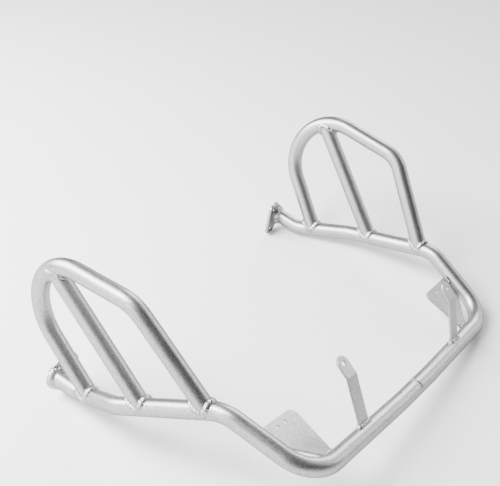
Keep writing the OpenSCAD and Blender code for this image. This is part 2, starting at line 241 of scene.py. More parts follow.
foot_gap = np.linalg.norm(nearest_on(MAIN_LINE, STRUT_FOOT[None])[0] - STRUT_FOOT)
print("the strut's foot lies", round(foot_gap, 3), "mm from the main tube's centre line")

# %% [markdown]
# ## Meshes
# Every new piece is a grid of points that becomes a mesh of quads. Rows run along the piece and columns
# run round it. A body collects such grids for one piece.


# %% Meshes
class Body:
    """Collects the points and faces of one piece, in the frame of a half."""

    def __init__(self):
        self.points = []
        self.faces = []
        self.flat = []
        self.count = 0

    def add(self, points, faces, flat=False):
        """Adds points and the faces between them, smooth unless flat is given."""
        points = np.asarray(points, float).reshape(-1, 3)
        self.points.append(points)
        self.faces += [[i + self.count for i in face] for face in faces]
        self.flat += [flat] * len(faces)
        self.count += len(points)

    def grid(self, rows, closed=True, loop=False, flat=False):
        """Adds a grid of rows and columns. A closed grid joins its last column to the first one, and a loop
        its last row to the first one."""
        rows = np.asarray(rows, float)
        n, m = rows.shape[:2]
        row_starts, column_starts = np.arange(n if loop else n - 1), np.arange(m if closed else m - 1)
        i, j = np.meshgrid(row_starts, column_starts, indexing="ij")
        a = i * m + j
        b = i * m + (j + 1) % m
        c = (i + 1) % n * m + (j + 1) % m
        d = (i + 1) % n * m + j
        self.add(rows, np.stack([a, b, c, d], 2).reshape(-1, 4).tolist(), flat)

    def close_ends(self, n, m):
        """Closes both ends of the body's first grid, which has n rows and m columns, with one face each."""
        self.faces += [list(range(m)), list(range((n - 1) * m, n * m))[::-1]]
        self.flat += [False, False]


sheet = Body()
sheet.grid(np.zeros((3, 4, 3)), closed=False)
print("a sheet of 3 rows and 4 columns of points has", len(sheet.faces), "faces")

# %% [markdown]
# ## From a body to a piece
# The last step sets the body in place in the whole part and hands its mesh to Blender. The object itself
# stays at the origin, with its place in its mesh. A mirror image turns the faces inside out, so the
# corners of each face are listed backwards on the left.


# %% From a body to a piece
def make_piece(body, name, side, node, material):
    """Makes the object of a piece, sets it in the whole part, and lets it stand for its solid."""
    full = f"{side}_{name}"
    mesh = bpy.data.meshes.new(full)
    faces = body.faces
    if side == "left":
        faces = [face[::-1] for face in faces]
    mesh.from_pydata(in_row(np.vstack(body.points), side).tolist(), [], faces)
    mesh.polygons.foreach_set("use_smooth", [not flat for flat in body.flat])
    mesh.materials.append(material)
    mesh.update()
    obj = bpy.data.objects.new(full, mesh)
    bpy.context.scene.collection.objects.link(obj)
    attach(obj, "root")
    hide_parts(f"{side}_{node}")
    print(full, "has", len(faces), "faces")


# %% [markdown]
# ## Tubes
# A tube is a grid of rings along its centre line, one for the outside and one for the bore. A curve with
# a round bevel would give the same tube, but not its ends. A welder cuts the end of a tube to a saddle
# that fits the other tube, and here each line along the surface is cut off where it meets that tube. The
# place of the cut is found by halving the search interval, because the distance from the other tube's
# centre line grows steadily along the line.

# %% Tubes
AROUND = 72
ANGLES = np.arange(AROUND) * 2 * math.pi / AROUND
CUT_REACH = 6 * TUBE_R
HALVINGS = 26
NEARLY_UPRIGHT = 0.3


def length_inside(is_inside, low, high, count):
    """For each of count lines, the length up to which is_inside holds, found by halving low to high."""
    low, high = np.full(count, low), np.full(count, high)
    for _ in range(HALVINGS):
        mid = (low + high) / 2
        inside = is_inside(mid)
        low, high = np.where(inside, mid, low), np.where(inside, high, mid)
    return (low + high) / 2


def cut_length(foot, offset, away, line):
    """How far each line, from foot plus its offset along away, runs before it leaves the tube round line."""

    def is_inside(t):
        p = foot + offset + t[:, None] * away
        return np.linalg.norm(p - nearest_on(line, p), axis=1) < TUBE_R

    return length_inside(is_inside, 0.0, CUT_REACH, len(offset))


def carried_frame(along):
    """Two unit vectors at right angles to each tangent, carried along the line without twist: each first
    vector is the one before it, less its share along the new tangent. The very first is at right angles to
    UP too, or to X where the line starts nearly upright."""
    first = np.cross(along[0], UP)
    if np.linalg.norm(first) < NEARLY_UPRIGHT:
        first = np.cross(along[0], [1.0, 0.0, 0.0])
    e1 = [unit(first)]
    for t in along[1:]:
        e1.append(unit(e1[-1] - t * (e1[-1] @ t)))
    e1 = np.array(e1)
    return e1, np.cross(along, e1)


def rings(line, e1, e2, r):
    """Rings of radius r round a line: each point is line + r (e1 cos a + e2 sin a)."""
    c, s = np.cos(ANGLES)[None, :, None], np.sin(ANGLES)[None, :, None]
    return line[:, None] + r * (c * e1[:, None] + s * e2[:, None])


def seat_end(grid, line, k, away, on):
    """Seats the end of a grid of rings on the tube round the line on. k is the end ring and away points
    from there into the grid. Rings that lie before the cut are pushed up to it, line by line."""
    t = cut_length(line[k], grid[k] - line[k], away, near_part(on, line[k]))
    passed = (line - line[k]) @ away
    push = np.maximum(0.0, t - passed[:, None])
    near = np.linalg.norm(line - line[k], axis=1) < CUT_REACH
    grid[near] += push[near][..., None] * away


def tube(line, along, start_on=None, end_on=None):
    """A tube with its bore. start_on and end_on are centre lines of the tubes that its ends sit on, and a
    free end gets a small chamfer."""
    e1, e2 = carried_frame(along)
    outer = rings(line, e1, e2, TUBE_R)
    inner = rings(line, e1, e2, BORE_R)
    for grid in (outer, inner):
        if start_on is not None:
            seat_end(grid, line, 0, along[0], start_on)
        if end_on is not None:
            seat_end(grid, line, -1, -along[-1], end_on)
    if start_on is None:
        first = rings(line[:1], e1[:1], e2[:1], TUBE_R - END_CHAMFER)
        outer[0] += along[0] * END_CHAMFER
        outer = np.concatenate([first, outer])
    if end_on is None:
        last = rings(line[-1:], e1[-1:], e2[-1:], TUBE_R - END_CHAMFER)
        outer[-1] -= along[-1] * END_CHAMFER
        outer = np.concatenate([outer, last])
    body = Body()
    body.grid(outer[:, ::-1])
    body.grid(inner)
    body.grid(np.stack([inner[0], outer[0]])[:, ::-1], flat=True)
    body.grid(np.stack([outer[-1], inner[-1]])[:, ::-1], flat=True)
    return body


print("a tube has", AROUND, "lines along it, and the strut", len(STRUT_LINE), "rings")

# %% [markdown]
# ## Frozen drops of weld metal
# A weld bead is laid drop by drop, and each drop freezes as a small mound that overlaps the one before.
# A bump map would keep the bead's outline smooth, so the drops are real shape: a row of half ellipsoids,
# each a little out of line and of its own size. Slow swells make the bead's width uneven, and a few
# balls of spatter stick beside it.


# %% Frozen drops of weld metal
def smooth_noise(s, swells, seed):
    """A smooth random value, mostly between -1 and 1, along a closed line with s from 0 to 1. It is a sum of
    four sine waves, with about 0.7, 1.4, 2.1 and 2.8 times the number of swells."""
    rng = np.random.default_rng(seed)
    value = np.zeros_like(s)
    for k in range(1, 5):
        n = max(1, int(swells * k * 0.7))
        value += rng.normal() / k * np.sin(2 * math.pi * (n * s + rng.random()))
    return value / 2.2


def frozen_drops(along, length, v, pitch, seed, closed):
    """Height from 0 to 1 of a row of drops, for each place along the bead in mm and each v across it. A
    drop is the half ellipsoid sqrt(1 - (along / half)^2 - (across / half)^2), and the highest counts."""
    rng = np.random.default_rng(seed)
    n = max(3, round(length / pitch))
    centre = (np.arange(n) + 0.5 + rng.uniform(-0.25, 0.25, n)) * length / n
    half_along = pitch * rng.uniform(0.6, 0.9, n)
    middle = 0.5 + rng.uniform(-0.14, 0.14, n)
    half_across = rng.uniform(0.4, 0.6, n)
    size = rng.uniform(0.45, 1.0, n)
    off = along[:, None] - centre
    if closed:
        off = (off + length / 2) % length - length / 2
    inside = 1 - (off / half_along)[:, None] ** 2 - ((v[:, None] - middle) / half_across)[None] ** 2
    return (size * np.sqrt(np.maximum(inside, 0.0))).max(axis=2)


def ball(body, centre, r):
    """Adds a small ball of spatter: rings of latitude, each point at centre + r (sin a cos b, sin a sin b,
    cos a)."""
    lat = np.linspace(0.05, math.pi - 0.05, 7)[:, None]
    lon = (np.arange(10) * 2 * math.pi / 10)[None]
    shape = np.stack([np.sin(lat) * np.cos(lon), np.sin(lat) * np.sin(lon), np.cos(lat) + 0 * lon], 2)
    body.grid((centre + r * shape)[:, ::-1])


sample = frozen_drops(np.linspace(0, 50, 200), 50.0, np.linspace(0, 1, 17), 5.0, 1, False)
print("drops on a bead of 50 mm rise up to", round(sample.max(), 2), "of their full height")

# %% [markdown]
# ## The skin of a bead
# A bead follows its root, the line where two surfaces meet. From the root it spreads over both of them,
# and its edges there are its toes. The skin is a curve from one toe to the other that bulges outwards,
# with the drops added on top. One function makes every bead on the bars, so they all look like the work
# of one welder.

# %% The skin of a bead
ACROSS = 17
MIDDLE = slice(5, 12)
LARGE_SHARE, SMALL_SHARE, SMALL_PITCH = 0.7, 0.3, 0.45
TOE_REST, TOE_SWELL, TOE_WANDER_A, TOE_WANDER_B = 0.84, 0.34, 0.10, 0.12
BULGE_FLAT, BULGE_OPEN = 0.26, 0.36
DROP_HEIGHT, ROOT_SINK = 0.46, 0.6
SPATTER_SPACING, SPATTER_R, SPATTER_AWAY, SPATTER_LIFT = 9, (0.25, 0.62), (1.25, 2.4), 0.3


def end_fade(s, length, width, closed):
    """Share of the full size along a bead: 1, and at the ends of an open bead a quarter circle down, to a
    rest of 0.04 that keeps the end's face open."""
    if closed:
        return np.ones_like(s)
    ends = np.clip(np.minimum(s, 1 - s) * length / (width * 0.9), 0.0, 1.0)
    return np.sqrt(1 - (1 - ends) ** 2) * 0.96 + 0.04


def corner_bead(root, to_a, to_b, lift, width, seed, wall=None, closed=True, pitch=5.0, width_b=None):
    """A bead along root that spreads over two surfaces, along to_a and to_b, and bulges along lift. Its skin
    is a (1 - v)^2 + k 2 v (1 - v) + b v^2 from the toe a to the toe b, with k above the root, and the drops
    stand on it along lift. wall is the centre line of the tube that the toe b lies on, if it is round."""
    width_b = width_b or width
    step = np.linalg.norm(np.roll(root, -1, 0) - root, axis=1)
    if not closed:
        step[-1] = 0.0
    length = step.sum()
    along = np.concatenate([[0.0], np.cumsum(step)[:-1]])
    s = along / length
    v = np.linspace(0.0, 1.0, ACROSS)
    lumps = frozen_drops(along, length, v, pitch, seed, closed) * LARGE_SHARE
    lumps += frozen_drops(along, length, v, pitch * SMALL_PITCH, seed + 9, closed) * SMALL_SHARE
    fade = end_fade(s, length, width, closed)
    # Where the drops in the middle stand high, the bead is wide too
    toe = TOE_REST + TOE_SWELL * lumps[:, MIDDLE].mean(axis=1)
    reach_a = width * (toe + TOE_WANDER_A * smooth_noise(s, 7, seed + 1)) * fade
    reach_b = width_b * (toe + TOE_WANDER_B * smooth_noise(s, 8, seed + 2)) * fade
    a = root + to_a * reach_a[:, None]
    b = root + to_b * reach_b[:, None]
    if wall is not None:
        b = onto_wall(wall, b)
    height = min(width, width_b)
    opening = np.linalg.norm(to_a + to_b, axis=1)
    k = root + lift * (height * fade * (BULGE_FLAT + BULGE_OPEN * opening))[:, None]
    skin = (
        a[:, None] * ((1 - v) ** 2)[None, :, None]
        + k[:, None] * (2 * v * (1 - v))[None, :, None]
        + b[:, None] * (v**2)[None, :, None]
    )
    lump = height * DROP_HEIGHT * lumps * np.sin(math.pi * v)[None] ** 0.7 * fade[:, None]
    skin = skin + lift[:, None] * lump[..., None]
    rows = np.concatenate([skin, (root - lift * ROOT_SINK)[:, None]], axis=1)
    body = Body()
    body.grid(rows, loop=closed)
    if not closed:
        body.close_ends(*rows.shape[:2])
    # The spatter lies beyond the toes, about one third of each ball sunk into the surface
    rng = np.random.default_rng(seed + 77)
    for i in rng.integers(0, len(root), int(length / SPATTER_SPACING)):
        r = rng.uniform(*SPATTER_R)
        away = rng.uniform(*SPATTER_AWAY)
        if rng.random() < 0.5 or wall is None:
            spot = root[i] + to_a[i] * width * away
        else:
            spot = onto_wall(wall, (root[i] + to_b[i] * width_b * away)[None])[0]
        ball(body, spot + lift[i] * r * SPATTER_LIFT, r)
    return body


bar = np.column_stack([np.linspace(0, 40, 100), np.zeros(100), np.zeros(100)])
over, beside = np.tile([0.0, 0.0, 1.0], (100, 1)), np.tile([0.0, 1.0, 0.0], (100, 1))
sample = corner_bead(bar, over, beside, unit(over + beside), 4.0, 1, closed=False)
print("a straight bead of 40 mm has", sample.count, "points")

# %% [markdown]
# ## A bead round the foot of a tube
# Where hoop or strut stands on another tube, the bead's root is the curve in which both walls meet. It
# is found like the saddle of the tube's end. One side of the bead climbs the standing tube, and the
# other lies on the tube below, at right angles to its normal.

# %% A bead round the foot of a tube
FOOT_BEAD_ROWS = 420
SEAM_HINT = (0.31, 0.87, 0.4)


def spokes(axis, hint, count):
    """Unit vectors e1 cos a + e2 sin a at even angles round an axis, where e1 is at right angles to the
    hint as well."""
    e1 = unit(np.cross(axis, hint))
    e2 = np.cross(axis, e1)
    angles = np.linspace(0, 2 * math.pi, count + 1)[:-1]
    return np.cos(angles)[:, None] * e1 + np.sin(angles)[:, None] * e2


def along_surface(way, normal):
    """Unit vectors of the ways without their share along the surface's normal."""
    share = np.sum(way * normal, axis=-1, keepdims=True)
    return unit(way - normal * share)


def foot_bead(foot, away, line, width, seed):
    """A bead round the foot of a tube that leaves, along away, the tube round line. Each line of the leaving
    tube's wall is followed to where it comes out of the other wall, and there lies the root."""
    away = unit(away)
    out = spokes(away, SEAM_HINT, FOOT_BEAD_ROWS)
    near = near_part(line, foot)
    t = cut_length(foot, out * TUBE_R, away, near)
    root = foot + out * TUBE_R + t[:, None] * away
    radial = unit(root - nearest_on(near, root))
    to_b = along_surface(out - away, radial)
    # Where the two surfaces run on into each other, the bead is lifted by their common normal
    return corner_bead(root, np.tile(away, (len(out), 1)), to_b, unit(out + radial), width, seed, near)


sample = foot_bead(STRUT_FOOT, STRUT_TOP - STRUT_FOOT, MAIN_LINE, 5.2, 37)
print("a bead round the strut's foot has", sample.count, "points")

# %% [markdown]
# ## Rounded edges of a plate
# Flange, side plate and strap are cut from sheet steel, and powder gathers thinly on sharp edges, so the
# edges are broken before coating. A plate is drawn flat, as an outline and round holes. A Bevel modifier
# could round its edges, but the plates' faces are many-sided and hold holes. So the faces are drawn in
# by the edge radius, and a few rings lead from there to the walls in a quarter circle.

# %% Rounded edges of a plate
SHARPEST = 0.3


def drawn_in(loop, by):
    """The closed loop moved sideways, to its left, by a distance. Corners keep their sharpness: a corner
    moves along the line that halves it, by the distance over the cosine of half its turn, or over SHARPEST
    if that is more."""
    before = unit(loop - np.roll(loop, 1, 0))
    after = unit(np.roll(loop, -1, 0) - loop)
    n0 = np.stack([-before[:, 1], before[:, 0]], 1)
    n1 = np.stack([-after[:, 1], after[:, 0]], 1)
    mid = unit(n0 + n1)
    return loop + mid * (by / np.maximum(SHARPEST, np.einsum("ij,ij->i", mid, n0)))[:, None]


def rounded_wall(body, loop, thick, edge, steps):
    """Adds the wall of a plate along a loop, with its two edges rounded. At the angle q of the rounding the
    loop is drawn in by edge (1 - sin q) and lies edge (1 - cos q) below the face. Returns the face's rim."""
    q = np.linspace(0, math.pi / 2, steps + 1)
    inset, z = edge * (1 - np.sin(q)), thick / 2 - edge * (1 - np.cos(q))
    profile = [*zip(inset, z), *zip(inset[::-1], -z[::-1])]
    rows = [np.column_stack([drawn_in(loop, by), np.full(len(loop), at)]) for by, at in profile]
    body.grid(np.array(rows)[:, ::-1])
    return drawn_in(loop, edge)


square = np.array([(0.0, 0.0), (10.0, 0.0), (10.0, 10.0), (0.0, 10.0)])
print("a square of 10 mm drawn in by 1 mm has its first corner at", drawn_in(square, 1.0)[0])

# %% [markdown]
# ## Faces and holes of a plate
# The faces are flat, so any cut into triangles gives the same surface. Blender's own function makes the
# triangles between the outline and the holes, and doesn't care how many corners they have.

# %% Faces and holes of a plate
EDGE_STEPS, HOLE_EDGE_SHARE = 4, 0.6


def face_triangles(rims):
    """Points of the rims, and triangles between the first rim and the others, all anticlockwise. A triangle
    p q r is anticlockwise if (q - p) x (r - p) is positive, and is turned round if it isn't."""
    points = np.vstack(rims)
    sets = [[Vector((x, y, 0.0)) for x, y in rim] for rim in rims]
    triangles = np.array(tessellate_polygon(sets))
    p, q, r = (points[triangles[:, i]] for i in range(3))
    area = (q[:, 0] - p[:, 0]) * (r[:, 1] - p[:, 1]) - (q[:, 1] - p[:, 1]) * (r[:, 0] - p[:, 0])
    return points, np.where((area > 0)[:, None], triangles, triangles[:, ::-1])


def add_face(body, points, triangles, z, flat):
    """Adds a flat face at the height z, looking up above 0 and down below it."""
    order = triangles if z > 0 else triangles[:, ::-1]
    body.add(np.column_stack([points, np.full(len(points), z)]), order.tolist(), flat)


def arc(centre, r, start, end, n=12):
    """Points centre + r (cos a, sin a) on an arc, with the angles in degrees."""
    a = np.radians(np.linspace(start, end, n))
    return [(centre[0] + r * math.cos(t), centre[1] + r * math.sin(t)) for t in a]


def round_hole(x, y, r):
    """A round hole as a loop that runs clockwise."""
    return np.array(arc((x, y), r, 0, -360, 49)[:-1])


def flat_plate(outline, holes, thick, edge):
    """Body of a plate in its own plane, as points (x, y, z) with z from minus half to half the thickness.
    The outline runs anticlockwise and each hole is (x, y, radius)."""
    body = Body()
    rims = [rounded_wall(body, np.asarray(outline, float), thick, edge, EDGE_STEPS)]
    hole_edge = edge * HOLE_EDGE_SHARE
    rims += [rounded_wall(body, round_hole(*hole), thick, hole_edge, EDGE_STEPS) for hole in holes]
    points, triangles = face_triangles(rims)
    for z in (thick / 2, -thick / 2):
        add_face(body, points, triangles, z, True)
    return body


def moved(body, at, x, y, z):
    """The body with its own axes laid along x, y and z at a point: each p becomes at + x p0 + y p1 + z p2."""
    body.points = [p @ np.stack([x, y, z]) + at for p in body.points]
    return body


washer = flat_plate(arc((0, 0), 12.0, 0, 360, 49)[:-1], [(0.0, 0.0, M8_HOLE_R)], 3.0, 0.5)
print("a washer of the same make has", len(washer.faces), "faces")

# %% [markdown]
# ## The rear flange
# The flange closes the tail of the main tube and takes two M8 bolts. It has two rounded corners at its
# long edge and two cut ones at its foot. It is drawn with X up and Y from its long edge to its foot.

# %% The rear flange
FLANGE_TURN = math.radians(11.0)
FLANGE_W, FLANGE_H, FLANGE_T, FLANGE_SEAT = 66.0, 54.0, 5.0, 42.0
FLANGE_CORNER_R, FLANGE_TAPER, FLANGE_FOOT_W = 12.0, 30.0, 31.0
FLANGE_HOLE_GAP, FLANGE_HOLE_EDGE = 42.0, 14.5
FLANGE_EDGE = 0.8
FLANGE_N = np.array([math.sin(FLANGE_TURN), math.cos(FLANGE_TURN), 0.0])
FLANGE_V = np.array([math.cos(FLANGE_TURN), -math.sin(FLANGE_TURN), 0.0])


def flange_body():
    """The rear flange, set on the end of the tube."""
    half, foot = FLANGE_W / 2, FLANGE_FOOT_W / 2
    corner = half - FLANGE_CORNER_R
    outline = (
        arc((-corner, FLANGE_CORNER_R), FLANGE_CORNER_R, 180, 270)
        + arc((corner, FLANGE_CORNER_R), FLANGE_CORNER_R, 270, 360)
        + [(half, FLANGE_TAPER), (foot, FLANGE_H), (-foot, FLANGE_H), (-half, FLANGE_TAPER)]
    )
    holes = [(x, FLANGE_HOLE_EDGE, M8_HOLE_R) for x in (-FLANGE_HOLE_GAP / 2, FLANGE_HOLE_GAP / 2)]
    body = flat_plate(outline, holes, FLANGE_T, FLANGE_EDGE)
    at = TAIL - FLANGE_V * FLANGE_SEAT - FLANGE_N * FLANGE_T / 2
    return moved(body, at, UP, FLANGE_V, FLANGE_N)


print("the flange is", FLANGE_W, "by", FLANGE_H, "mm, its holes", FLANGE_HOLE_GAP, "mm apart")

# %% [markdown]
# ## The side plate
# The side plate fills the front corner of the main tube, where the cross tube turns into the slanting
# tube. It stands on both and leaves their bend open. It is drawn with X inwards from the slanting tube
# and Y backwards along it. Its feet aren't typed in: each edge is followed until it meets the tube, so
# the plate fits whatever the route.

# %% The side plate
PLATE_T, PLATE_DROP, PLATE_TILT = 4.0, 3.0, math.radians(4.0)
PLATE_W, PLATE_FRONT_W, PLATE_L, PLATE_CORNER_R = 95.0, 66.0, 100.0, 12.0
PLATE_OPEN_IN, PLATE_OPEN_BACK = 64.0, 80.0
PLATE_HOLE_IN, PLATE_HOLE_PITCH, PLATE_HOLE_BACK = 42.0, 19.0, 12.0
PLATE_EDGE, PLATE_SINK = 0.7, 0.6
PLATE_TUBE_X, PLATE_TUBE_Y = 150.0, -130.0
PLATE_SEARCH = np.linspace(0.0, 140.0, 1401)[:, None]
level_up = unit(np.cross(-CROSS_RUN, SLANT_RUN))
level_in = np.cross(SLANT_RUN, level_up)
PLATE_X = level_in * math.cos(PLATE_TILT) - level_up * math.sin(PLATE_TILT)
PLATE_Z = level_in * math.sin(PLATE_TILT) + level_up * math.cos(PLATE_TILT)
PLATE_Y = SLANT_RUN
PLATE_AT = CORNER - PLATE_Z * PLATE_DROP
# Only the stretch of the main tube round its front corner matters to the plate
PLATE_LINE = MAIN_LINE[(MAIN_LINE[:, 0] > PLATE_TUBE_X) & (MAIN_LINE[:, 1] > PLATE_TUBE_Y)]


def plate_point(inwards, backwards):
    """Point of the plate's plane, from distances along the cross tube and the slanting tube."""
    return np.array([-(CROSS_RUN @ level_in) * inwards, backwards - (CROSS_RUN @ SLANT_RUN) * inwards])


def on_plate(flat, lift=0.0):
    """Points (x, y) of the plate's plane as points of the half, raised by lift: the plate's place, plus x, y
    and lift times its own three axes."""
    return PLATE_AT + flat[:, :1] * PLATE_X + flat[:, 1:] * PLATE_Y + PLATE_Z * lift


def meets_tube(start, direction):
    """First point of a line in the plate's plane that lies just inside the wall of the main tube, looked for
    in steps of a tenth of a millimetre."""
    q = start + PLATE_SEARCH * direction
    p = on_plate(q)
    gap = np.linalg.norm(p - nearest_on(PLATE_LINE, p), axis=1)
    return q[np.argmax(gap < TUBE_R - PLATE_SINK)]


inner_rear = plate_point(PLATE_W, PLATE_L)
ALONG_REAR = unit(plate_point(0, PLATE_L) - inner_rear)
ALONG_INNER = unit(plate_point(PLATE_FRONT_W, 0) - inner_rear)
open_foot, open_side = plate_point(PLATE_OPEN_IN, 0), plate_point(0, PLATE_OPEN_BACK)
open_middle = (open_foot + open_side) / 2
FOOT_INNER = meets_tube(inner_rear, ALONG_INNER)
FOOT_OUTER = meets_tube(open_middle, unit(open_foot - open_middle))
SIDE_FRONT = meets_tube(open_middle, unit(open_side - open_middle))
SIDE_REAR = meets_tube(inner_rear, ALONG_REAR)
print("the plate's front foot is", round(np.linalg.norm(FOOT_OUTER - FOOT_INNER), 1), "mm long")

# %% [markdown]
# ## The outline of the side plate
# With the four ends of its feet known, the outline needs only straight lines and the round corner at the
# inner rear. The two holes for a guard or a lamp lie in a row near the rear end.


# %% The outline of the side plate
def plate_outline():
    """Outline of the side plate: its foot on each tube, the open corner between, and the rounded corner. The
    arc's centre lies on the line that halves the corner, at the radius over the sine of half its angle."""
    half = math.acos(ALONG_REAR @ ALONG_INNER) / 2
    centre = inner_rear + unit(ALONG_REAR + ALONG_INNER) * PLATE_CORNER_R / math.sin(half)
    reach = PLATE_CORNER_R / math.tan(half)
    a0, a1 = (math.atan2(*(inner_rear + way * reach - centre)[::-1]) for way in (ALONG_REAR, ALONG_INNER))
    turn = (a1 - a0 + math.pi) % (2 * math.pi) - math.pi
    angles = a0 + turn * np.linspace(0, 1, 17)
    rounded = centre + PLATE_CORNER_R * np.stack([np.cos(angles), np.sin(angles)], 1)
    loop = [FOOT_INNER, FOOT_OUTER, SIDE_FRONT, SIDE_REAR, *rounded]
    area = sum(p[0] * q[1] - p[1] * q[0] for p, q in zip(loop, loop[1:] + loop[:1]))
    return np.array(loop if area > 0 else loop[::-1])


def plate_body():
    """The side plate in the corner of the main tube, with two holes for M6 bolts."""
    places = [plate_point(PLATE_HOLE_IN + PLATE_HOLE_PITCH * i, PLATE_L - PLATE_HOLE_BACK) for i in (0, 1)]
    body = flat_plate(plate_outline(), [(*place, M6_HOLE_R) for place in places], PLATE_T, PLATE_EDGE)
    return moved(body, PLATE_AT, PLATE_X, PLATE_Y, PLATE_Z)


print("the side plate's outline has", len(plate_outline()), "points")

# %% [markdown]
# ## The front strap
# The strap rises from the cross tube, leans back, and bends once more near its hole. On the real part it
# is a flat blank that is bent over a round edge, and here it is made the same way: drawn flat with its
# hole, cut into strips across the bend, and then bent. So its hole and its width stay true.

# %% The front strap
STRAP_OUT, STRAP_W, STRAP_T = 152.0, 24.0, 4.0
STRAP_LEG, STRAP_NOSE, STRAP_BEND_R = 88.0, 21.0, 10.0
STRAP_LEAN, STRAP_BEND = math.radians(20.0), math.radians(25.0)
STRAP_EDGE, STRAP_HOLE_EDGE, STRAP_SINK = 0.7, 0.4, 1.0
STRAP_ROWS, STRAP_CUTS, STRAP_EDGE_STEPS = 61, 14, 3
BEND_MARGIN, RIM_CLEAR = 1.0, 0.3
STRAP_AT = STUB + CROSS_RUN * (STRAP_OUT - STUB[0])
leaning = np.array([0.0, -math.sin(STRAP_LEAN), math.cos(STRAP_LEAN)])
STRAP_UP = unit(leaning - CROSS_RUN * (leaning @ CROSS_RUN))
STRAP_Y = np.cross(STRAP_UP, CROSS_RUN)
BEND_LENGTH = STRAP_BEND_R * STRAP_BEND
BEND_START = STRAP_LEG - STRAP_BEND_R * math.tan(STRAP_BEND / 2)
HOLE_AT = BEND_START + BEND_LENGTH + STRAP_NOSE - STRAP_BEND_R * math.tan(STRAP_BEND / 2)
print("the strap's flat blank is", round(HOLE_AT - TUBE_R, 1), "mm long from the tube to its hole")


def bent_strap(flat):
    """Points (x, s, z) of the flat strap, bent. With a as the angle reached at s, the middle of the sheet
    runs up the leg, round the bend at (r sin a, -r (1 - cos a)) and straight on, and z is laid off at
    right angles to it."""
    s, z = flat[:, 1], flat[:, 2]
    a = np.clip(s - BEND_START, 0.0, BEND_LENGTH) / STRAP_BEND_R
    past = np.maximum(0.0, s - BEND_START - BEND_LENGTH)
    back = -STRAP_BEND_R * (1 - np.cos(a)) - past * math.sin(STRAP_BEND)
    height = np.minimum(s, BEND_START) + STRAP_BEND_R * np.sin(a) + past * math.cos(STRAP_BEND)
    return np.column_stack([flat[:, 0], back + z * np.cos(a), height + z * np.sin(a)])


def strap_body():
    """The front strap: a flat leg, a bend and a round nose with a hole."""
    half, foot = STRAP_W / 2, TUBE_R - STRAP_SINK
    up = foot + np.arange(STRAP_ROWS) * (HOLE_AT - foot) / (STRAP_ROWS - 1)
    out = np.full(STRAP_ROWS, half)
    nose = arc((0.0, HOLE_AT), half, 0, 180, 25)[1:-1]
    outline = np.vstack([np.column_stack([out, up]), nose, np.column_stack([-out, up[::-1]])])
    body = Body()
    rim = rounded_wall(body, outline, STRAP_T, STRAP_EDGE, STRAP_EDGE_STEPS)
    hole = round_hole(0.0, HOLE_AT, M8_HOLE_R)
    hole_rim = rounded_wall(body, hole, STRAP_T, STRAP_HOLE_EDGE, STRAP_EDGE_STEPS)
    # The flat faces are cut into strips across the bend, so that they can follow it
    cuts = np.linspace(BEND_START - BEND_MARGIN, BEND_START + BEND_LENGTH + BEND_MARGIN, STRAP_CUTS)
    x, top = half - STRAP_EDGE, cuts[-1]
    nose_rim = np.vstack([[(-x, top), (x, top)], rim[rim[:, 1] > top + RIM_CLEAR]])
    points, triangles = face_triangles([nose_rim, hole_rim])
    for z in (STRAP_T / 2, -STRAP_T / 2):
        strip = np.array([[[-x, y, z], [x, y, z]] for y in (rim[:, 1].min(), *cuts)])
        body.grid(strip[:, ::-1] if z > 0 else strip, closed=False)
        add_face(body, points, triangles, z, False)
    body.points = [bent_strap(block) for block in body.points]
    return moved(body, STRAP_AT, CROSS_RUN, STRAP_Y, STRAP_UP)


# %% [markdown]
# ## The beads on the flange, the side plate and the strap
# These three beads need roots of their own. The one on the flange runs round the end of the tube, where
# the flange's plane cuts it. Two short beads above and two below hold each side plate near its ends. One
# bead runs round the foot of each strap, up and down over the round back of the cross tube.

# %% The beads on the flange, the side plate and the strap
FOOT_BEAD_W, STRUT_BEAD_W = 5.4, 5.2
FLANGE_BEAD_UP, FLANGE_BEAD_OUT, FLANGE_BEAD_PITCH, FLANGE_BEAD_ROWS = 8.6, 5.6, 5.2, 300
TACK_LENGTH, TACK_W, TACK_PITCH, TACK_ROWS = 17.0, 3.9, 3.4, 110
TACK_MARGIN, TACK_SEARCH = 0.04, 8.0
STRAP_BEAD_W, STRAP_BEAD_PITCH = 4.2, 4.0
STRAP_BEAD_CORNER_R, STRAP_BEAD_STEP = 1.2, 0.3


def flange_bead(seed):
    """The bead round the end of the main tube, on the face of the flange. Each line of the tube's wall is
    followed along the tube to the flange's plane, and there lies the root."""
    along = MAIN_ALONG[-1]
    out = spokes(along, UP, FLANGE_BEAD_ROWS)
    root = TAIL + out * TUBE_R
    root = root - along * ((root - TAIL) @ FLANGE_N / (along @ FLANGE_N))[:, None]
    up_tube, lift = np.tile(-along, (len(out), 1)), unit(out + FLANGE_N)
    over_flange = along_surface(out, FLANGE_N)
    sizes = {"width": FLANGE_BEAD_UP, "width_b": FLANGE_BEAD_OUT, "pitch": FLANGE_BEAD_PITCH}
    return corner_bead(root, up_tube, over_flange, lift, seed=seed, **sizes)


